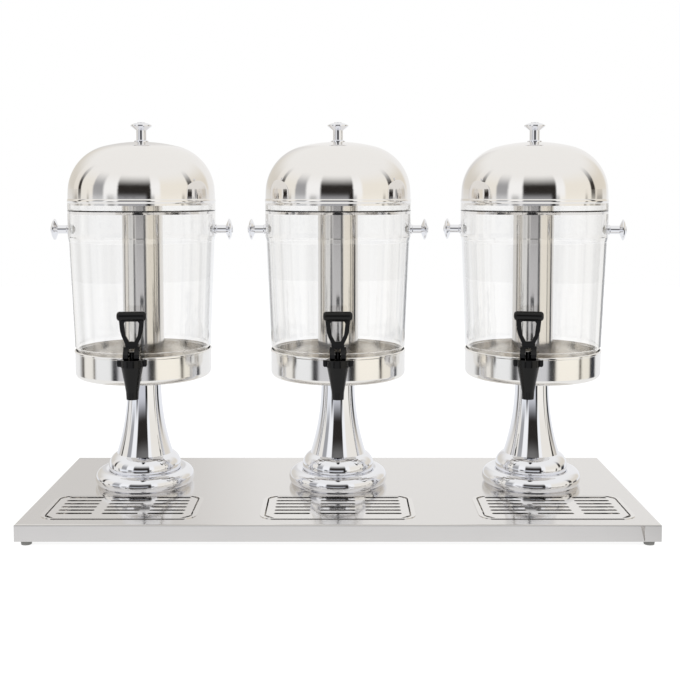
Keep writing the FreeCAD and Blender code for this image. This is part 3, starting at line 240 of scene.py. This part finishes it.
@dataclass(frozen=True)
class Moulded:
    """A moulded plastic or rubber with the fine skin of its tool."""

    name: str
    colour: str
    roughness: float
    skin_mm: float = 0.8
    skin_depth_mm: float = 0.01
    skin_strength: float = 0.4
    cloud_mm: float = 15
    ior: float = 1.5
    shade_spread: float = 0.15
    see_through: float = 0.0
    smoothest: float = 0.85
    roughest: float = 1.15
    detail: float = 2.0

    def material(self) -> bpy.types.Material:
        """Build the plastic: a soft cloud in its shade, a fine skin in its gloss and height.

        Returns:
            The finished material.
        """
        material, tree = new_material(self.name)
        place = add_node(tree, "TexCoord").outputs["Object"]
        skin, cloud = (
            add_node(
                tree, "TexNoise",
                {"Vector": place, "Scale": 1 / (size * MM), "Detail": self.detail})
            for size in (self.skin_mm, self.cloud_mm))
        red, green, blue, _ = linear(self.colour)
        pale = 1 + self.shade_spread
        shade = add_node(
            tree, "MixRGB",
            {0: cloud.outputs["Fac"], 1: (red, green, blue, 1),
             2: (red * pale, green * pale, blue * pale, 1)})
        rough = add_node(
            tree, "MapRange",
            {0: skin.outputs["Fac"], 1: NOISE_LOW, 2: NOISE_HIGH,
             3: self.roughness * self.smoothest, 4: self.roughness * self.roughest})
        bump = add_node(
            tree, "Bump",
            {"Strength": self.skin_strength, "Distance": self.skin_depth_mm * MM,
             "Height": skin.outputs["Fac"]})
        surface = add_node(
            tree, "BsdfPrincipled",
            {"Base Color": shade.outputs[0], "Roughness": rough.outputs[0], "IOR": self.ior,
             "Transmission Weight": self.see_through, "Normal": bump.outputs[0]})
        add_node(tree, "OutputMaterial", {"Surface": surface.outputs[0]})
        return material


@dataclass(frozen=True)
class ClearPlastic:
    """Clear moulded polycarbonate, with the slow waviness that moulding leaves in a wall."""

    name: str
    colour: str
    roughness: float = 0.015
    ior: float = 1.58
    wave_mm: float = 45
    wave_depth_mm: float = 0.05
    wave_strength: float = 0.12
    wave_detail: float = 1.0

    def material(self) -> bpy.types.Material:
        """Build the clear plastic, which shows by its edges and what it mirrors.

        Returns:
            The finished material.
        """
        material, tree = new_material(self.name)
        place = add_node(tree, "TexCoord").outputs["Object"]
        wave = add_node(
            tree, "TexNoise",
            {"Vector": place, "Scale": 1 / (self.wave_mm * MM), "Detail": self.wave_detail})
        bump = add_node(
            tree, "Bump",
            {"Strength": self.wave_strength, "Distance": self.wave_depth_mm * MM,
             "Height": wave.outputs["Fac"]})
        surface = add_node(
            tree, "BsdfPrincipled",
            {"Base Color": linear(self.colour), "Roughness": self.roughness, "IOR": self.ior,
             "Transmission Weight": 1.0, "Normal": bump.outputs[0]})
        add_node(tree, "OutputMaterial", {"Surface": surface.outputs[0]})
        return material


# Ground 304 sheet of the tray: warm grey, with a soft sheen that smears what it mirrors.
GROUND_STAINLESS = Metal(
    "ground_304_stainless_sheet", "#E4E2E0", 0.13, Grain.ALONG, mark_depth_mm=0.001,
    mark_strength=0.1)
# Pressed and buffed 304 sheet of the drip pans and grilles: no grain, and clearer reflections.
BUFFED_STAINLESS = Metal("pressed_and_buffed_304_sheet", "#EAE8E6", 0.08, shade_spread=0.03)
# Pressed and polished 304 sheet of the pans: clear but slightly soft reflections.
POLISHED_STAINLESS = Metal(
    "polished_304_stainless_sheet", "#F5F3F0", 0.12, Grain.AROUND, mark_mm=1.6)
# Drawn tube, ground lightly all round: reflections stay upright bands.
DRAWN_TUBE = Metal("drawn_304_stainless_tube", "#E8E4DE", 0.14, Grain.AROUND, mark_mm=1.4)
# Spun and mirror-polished 304: a clean mirror with a trace of the spinning rings.
MIRROR_STAINLESS = Metal(
    "mirror_polished_304_stainless", "#F2F0EE", 0.05, Grain.AROUND, mark_depth_mm=0.002,
    shade_spread=0.02)
# Bright chrome plating: the clearest mirror on the object, slightly blue.
CHROME = Metal("chrome_plated_brass", "#F0F1F5", 0.025, shade_spread=0.02)
# Zinc plated steel of screws, nuts and bolts: dull and pale.
ZINC = Metal("zinc_plated_steel", "#B9BABA", 0.32, shade_spread=0.12, cloud_mm=8)
# Hard drawn spring wire and pin: bright, with no marks that show.
SPRING_STEEL = Metal("drawn_302_spring_wire", "#C4C4C4", 0.2, shade_spread=0.06, cloud_mm=6)
# Injection-moulded black nylon of the taps: deep black with a semi-gloss skin.
BLACK_NYLON = Moulded("injection_moulded_black_nylon", "#060606", 0.2, ior=1.36)
# Moulded grey rubber of the feet: dull, with a dusty skin.
GREY_RUBBER = Moulded("moulded_grey_rubber", "#8A8A87", 0.75, skin_mm=1.2, skin_depth_mm=0.04)
# Milky silicone of the washers and the valve's cup.
SILICONE = Moulded(
    "moulded_milky_silicone", "#DDE0E0", 0.45, ior=1.41, shade_spread=0.03, see_through=0.3)
# Clear polycarbonate of the containers: only edges and steps show.
POLYCARBONATE = ClearPlastic("injection_moulded_clear_polycarbonate", "#FBFBFB")


@dataclass
class Wardrobe:
    """Keeps one material for each finish and dresses pieces in them."""

    made: dict[str, bpy.types.Material] = field(default_factory=dict)

    def dress(self, piece: bpy.types.Object, finish: Metal | Moulded | ClearPlastic) -> None:
        """Give a piece its finish.

        Args:
            piece: The object to dress.
            finish: The finish that its real surface has.
        """
        if finish.name not in self.made:
            self.made[finish.name] = finish.material()
        material = self.made[finish.name]
        if not piece.material_slots:
            piece.data.materials.append(material)
        for place in piece.material_slots:
            place.material = material
        LOG.info("%s: %s", piece.name, finish.name)


@dataclass
class Stand:
    """The folded tray with its feet and the bolts under it."""

    wardrobe: Wardrobe

    def build(self) -> None:
        """Dress the tray, the feet and the bolts."""
        for name, finish in (
            ("base_tray", GROUND_STAINLESS),
            ("tray_feet", GREY_RUBBER),
            ("tie_bolts", ZINC),
        ):
            self.wardrobe.dress(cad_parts[name], finish)


@dataclass
class Dispenser:
    """One dispenser: pedestal, pan, container, lid, tap and drip pan."""

    side: Side
    wardrobe: Wardrobe
    spring_foot: float = 220.4 * MM
    spring_length: float = 16.6 * MM
    stem_lift: float = 5 * MM

    def node(self, name: str) -> bpy.types.Object:
        """Return this dispenser's node of a given kind."""
        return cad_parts[self.side.value + "_" + name]

    def build(self) -> None:
        """Dress the dispenser's pieces."""
        for name, finish in (
            ("drip_pan", BUFFED_STAINLESS),
            ("drip_grille", BUFFED_STAINLESS),
            ("pedestal", CHROME),
            ("base_pan", POLISHED_STAINLESS),
            ("container", POLYCARBONATE),
            ("ice_tube", DRAWN_TUBE),
            ("dome_lid", MIRROR_STAINLESS),
            ("lid_knob", CHROME),
            ("side_knobs", CHROME),
            ("knob_screws", ZINC),
            ("tap_body", BLACK_NYLON),
            ("tap_bonnet", BLACK_NYLON),
            ("shank_nut", BLACK_NYLON),
            ("seal_washers", SILICONE),
            ("tap_stem", BLACK_NYLON),
            ("seat_cup", SILICONE),
            ("lever_pin", SPRING_STEEL),
            ("tap_lever", BLACK_NYLON),
        ):
            self.wardrobe.dress(self.node(name), finish)
        self.make_spring()
        # The clear wall casts no shadow on what stands in it, and the metal round it mirrors what
        # lies behind that wall.
        self.node("container").visible_shadow = False
        self.node("container").visible_glossy = False

    def make_spring(self) -> None:
        """Copy the tap's return spring, attach the copy to the tap stem, and hide the drawn spring.
        """
        drawn = self.node("tap_spring")
        spring = bpy.data.objects.new(self.side.value + "_return_spring", drawn.data.copy())
        spring.matrix_world = drawn.matrix_world
        bpy.context.scene.collection.objects.link(spring)
        self.wardrobe.dress(spring, SPRING_STEEL)
        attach(spring, self.side.value + "_tap_stem")
        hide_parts(drawn.name)
        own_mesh(spring)


@dataclass(frozen=True)
class Panel:
    """A stretch of the studio's wall, by compass angle from the camera's side, in degrees."""

    start: float
    end: float
    colour: str


@dataclass(frozen=True)
class Lamp:
    """A square soft lamp: where it hangs and its face's side, in metres, and its power in watts."""

    name: str
    place: tuple[float, float, float]
    size: float
    power: float


@dataclass
class Studio:
    """The white room round the object: what lights it, what its metals mirror, and the camera."""

    # Bearings run from -180 to 180: 0 is behind the camera and positive is to its right.
    # The wall above the table: a dark doorway behind the camera, white screens beside it, and
    # pale walls with a dark frame on either side.
    wall: Sequence[Panel] = (
        Panel(-180, -176, "#F6F5F4"),
        Panel(-171, -163, "#DEDCDA"),
        Panel(-158, -122, "#DDD8CF"),
        Panel(-118, -106, "#EEE9E1"),
        Panel(-104, -98, "#3B3733"),
        Panel(-96.5, -72, "#F4F0E8"),
        Panel(-69, -53, "#A6A6A8"),
        Panel(-49, -29, "#FFFFFF"),
        Panel(-26, 23, "#2E2B29"),
        Panel(25, 37, "#FFFFFF"),
        Panel(40, 87, "#F6F1E7"),
        Panel(89, 97, "#3B3733"),
        Panel(99, 135, "#E6DFD3"),
        Panel(145, 180, "#F6F5F4"),
    )
    # Below the wall: white tables, a greyer middle, and the dark gaps between them.
    table: Sequence[Panel] = (
        Panel(-180, -126, "#F2F3F5"),
        Panel(-112, -109, "#5A5652"),
        Panel(-106, -84, "#F2F0EC"),
        Panel(-81.5, -79.5, "#6B665F"),
        Panel(-77, -47, "#F2F4F7"),
        Panel(-42, -36, "#2A2A2E"),
        Panel(-31, 15, "#D2D3D8"),
        Panel(19, 28, "#1E1E20"),
        Panel(31, 74, "#FFFBF2"),
        Panel(76, 78.5, "#4A443C"),
        Panel(81, 100, "#F2EEE4"),
        Panel(104, 117, "#34363C"),
        Panel(122, 180, "#F4F5F7"),
    )
    ceiling: str = "#F8F7F5"
    ground: str = "#F4F4F4"
    # Between which heights one part of the room passes into the next, in degrees.
    table_edge: tuple[float, float] = (-6, 6)
    ceiling_edge: tuple[float, float] = (12, 44)
    ground_edge: tuple[float, float] = (-20, -13)
    diffuse_level: float = 0.72
    lens_mm: float = 56.27
    sensor_mm: float = 36
    pitch_degrees: float = 3.66
    shift: float = -0.12
    eye: tuple[float, float, float] = (0.003, -1.580, 0.4776)
    floor_radius: float = 4.0
    floor_sides: int = 96
    floor_glow: float = 0.85
    floor_paint: float = 0.28
    lamp_aim: tuple[float, float, float] = (0, 0, 0.25)
    lamps: Sequence[Lamp] = (
        Lamp("left_softbox", (-1.6, -1.5, 1.6), 1.2, 22),
        Lamp("right_softbox", (1.7, -1.2, 1.3), 1.2, 12),
    )

    def panels(
        self, tree: bpy.types.NodeTree, bearing: bpy.types.NodeSocket, stretch: Sequence[Panel]
    ) -> bpy.types.NodeSocket:
        """Turn a row of panels into a colour by bearing.

        Args:
            tree: The world's node tree.
            bearing: The bearing, as 0 to 1 for -180 to 180 degrees.
            stretch: The panels from left to right.

        Returns:
            The colour seen at that bearing.
        """
        ramp = add_node(tree, "ValToRGB", {0: bearing})
        stops = ramp.color_ramp.elements
        wanted = []
        for panel in stretch:
            for end in (panel.start, panel.end):
                wanted.append(((end + 180) / 360, panel.colour))
        stops[0].position, stops[0].color = wanted[0][0], linear(wanted[0][1])
        stops[1].position, stops[1].color = wanted[-1][0], linear(wanted[-1][1])
        for place, colour in wanted[1:-1]:
            stops.new(place).color = linear(colour)
        return ramp.outputs[0]

    def make_world(self) -> None:
        """Make the surroundings: white to the eye, panelled to the metals, even for soft light."""
        world = bpy.data.worlds.new("white_studio")
        bpy.context.scene.world = world
        world.use_nodes = True
        tree = world.node_tree
        tree.nodes.clear()
        way = add_node(tree, "TexCoord").outputs["Generated"]
        parts = add_node(tree, "SeparateXYZ", {0: way})
        back = add_node(tree, "Math", {0: parts.outputs["Y"], 1: -1.0}, operation="MULTIPLY")
        turn = add_node(
            tree, "Math", {0: parts.outputs["X"], 1: back.outputs[0]}, operation="ARCTAN2")
        bearing = add_node(
            tree, "MapRange",
            {0: turn.outputs[0], 1: -math.pi, 2: math.pi, 3: 0.0, 4: 1.0}).outputs[0]
        height = parts.outputs["Z"]

        def share(low: float, high: float) -> bpy.types.NodeSocket:
            """Return a smooth step in height between two angles in degrees."""
            ends = {1: math.sin(math.radians(low)), 2: math.sin(math.radians(high)), 3: 0.0, 4: 1.0}
            return add_node(
                tree, "MapRange", {0: height, **ends}, interpolation_type="SMOOTHSTEP").outputs[0]

        wall = self.panels(tree, bearing, self.wall)
        table = self.panels(tree, bearing, self.table)
        lower = add_node(tree, "MixRGB", {0: share(*self.table_edge), 1: table, 2: wall})
        studio = add_node(
            tree, "MixRGB",
            {0: share(*self.ceiling_edge), 1: lower.outputs[0], 2: linear(self.ceiling)})
        room = add_node(
            tree, "MixRGB",
            {0: share(*self.ground_edge), 1: linear(self.ground), 2: studio.outputs[0]})
        path = add_node(tree, "LightPath")
        mirrored, shone = (
            add_node(
                tree, "Math", {0: path.outputs[kind + " Depth"], 1: BOUNCED},
                operation="GREATER_THAN")
            for kind in ("Glossy", "Diffuse"))
        seen = add_node(
            tree, "MixRGB", {0: mirrored.outputs[0], 1: (1, 1, 1, 1), 2: room.outputs[0]})
        level = self.diffuse_level
        light = add_node(
            tree, "MixRGB", {0: shone.outputs[0], 1: seen.outputs[0], 2: (level, level, level, 1)})
        sky = add_node(tree, "Background", {"Color": light.outputs[0], "Strength": 1.0})
        add_node(tree, "OutputWorld", {"Surface": sky.outputs[0]})

    def make_floor(self) -> None:
        """Make the white floor, which keeps a faint shadow of the object."""
        shape = bmesh.new()
        bmesh.ops.create_circle(
            shape, cap_ends=True, segments=self.floor_sides, radius=self.floor_radius)
        mesh = bpy.data.meshes.new("floor")
        shape.to_mesh(mesh)
        shape.free()
        floor = bpy.data.objects.new("floor", mesh)
        bpy.context.scene.collection.objects.link(floor)
        material, tree = new_material("white_painted_floor")
        shade = self.floor_paint
        glow = add_node(tree, "Emission", {"Color": (1, 1, 1, 1), "Strength": self.floor_glow})
        paint = add_node(tree, "BsdfDiffuse", {"Color": (shade, shade, shade, 1)})
        both = add_node(tree, "AddShader", {0: glow.outputs[0], 1: paint.outputs[0]})
        add_node(tree, "OutputMaterial", {"Surface": both.outputs[0]})
        mesh.materials.append(material)
        floor.visible_glossy = False
        floor.visible_diffuse = False

    def make_lamp(self, lamp: Lamp) -> None:
        """Hang a lamp that faces the middle of the object, and that no metal mirrors.

        Args:
            lamp: The lamp's place, size and power.
        """
        data = bpy.data.lights.new(lamp.name, "AREA")
        data.size = lamp.size
        data.energy = lamp.power
        hung = bpy.data.objects.new(lamp.name, data)
        hung.location = lamp.place
        aim = Vector(self.lamp_aim) - Vector(lamp.place)
        hung.rotation_euler = aim.to_track_quat("-Z", "Y").to_euler()
        hung.visible_glossy = False
        bpy.context.scene.collection.objects.link(hung)

    def make_camera(self) -> None:
        """Stand the camera where the photograph was taken."""
        data = bpy.data.cameras.new("camera")
        data.lens = self.lens_mm
        data.sensor_width = self.sensor_mm
        data.shift_y = self.shift
        camera = bpy.data.objects.new("camera", data)
        camera.location = self.eye
        camera.rotation_euler = (math.radians(90 - self.pitch_degrees), 0, 0)
        bpy.context.scene.collection.objects.link(camera)
        bpy.context.scene.camera = camera

    def build(self) -> None:
        """Make the world, the floor, the lamps and the camera."""
        self.make_world()
        self.make_floor()
        for lamp in self.lamps:
            self.make_lamp(lamp)
        self.make_camera()
        bpy.context.scene.view_settings.view_transform = "Standard"
        LOG.info("studio: world, floor, lamps and camera")


def main() -> None:
    """Build the stand, the three dispensers and the studio."""
    logging.basicConfig(level=logging.INFO, format="%(message)s")
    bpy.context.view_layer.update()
    wardrobe = Wardrobe()
    Stand(wardrobe).build()
    for side in Side:
        Dispenser(side, wardrobe).build()
    Studio().build()


if __name__ == "__main__":
    main()
